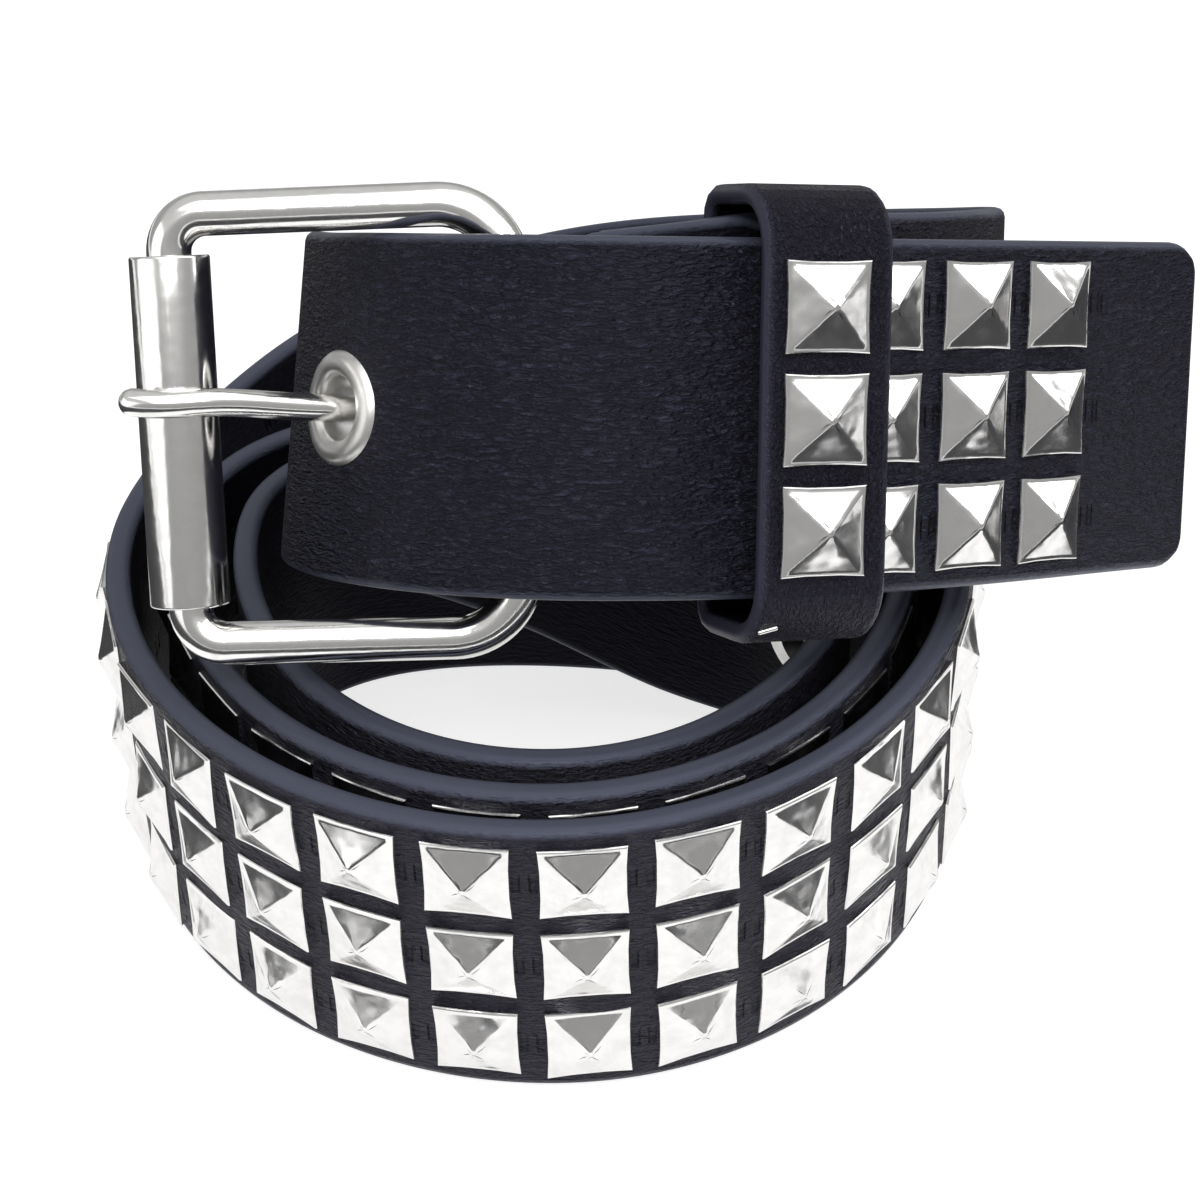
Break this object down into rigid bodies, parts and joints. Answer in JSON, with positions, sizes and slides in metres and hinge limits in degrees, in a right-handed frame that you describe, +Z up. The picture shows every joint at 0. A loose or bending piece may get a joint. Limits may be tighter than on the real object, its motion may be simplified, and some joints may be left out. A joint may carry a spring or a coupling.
{
  "type": "studded belt",
  "caption": "Dark leather belt with pyramid studs, a roller buckle and a keeper, buckled and wound up.",
  "frame": {"origin": "middle of the box's base, on the surface that the wound turns stand on", "axes": "+Z up, +Y away from the buckled front, +X towards the strap's tip"},
  "size_m": [0.1318, 0.1128, 0.0927],
  "materials": {
    "strap_leather": "satin",
    "keeper_leather": "satin",
    "nickel": "polished"
  },
  "bodies": {
    "belt": {"strap": "strap_leather", "eyelet_1": "nickel", "eyelet_2": "nickel", "eyelet_3": "nickel", "eyelet_4": "nickel", "eyelet_5": "nickel", "eyelet_6": "nickel", "buckle_frame": "nickel", "prong": "nickel", "keeper": "keeper_leather", "keeper_stud_1": "nickel", "keeper_stud_2": "nickel", "keeper_stud_3": "nickel", "tip_stud_1_1": "nickel", "tip_stud_1_2": "nickel", "tip_stud_1_3": "nickel", "tip_stud_2_1": "nickel", "tip_stud_2_2": "nickel", "tip_stud_2_3": "nickel", "tip_stud_3_1": "nickel", "tip_stud_3_2": "nickel", "tip_stud_3_3": "nickel"},
    "roller": {"roller": "nickel"}
  },
  "joints": [
    {"name": "roller_spin", "type": "hinge", "parent": "belt", "child": "roller", "pos_m": [-0.04871, -0.01994, 0.06605], "axis": [-0.0175, 0.4725, 0.8812], "continuous": true}
  ]
}
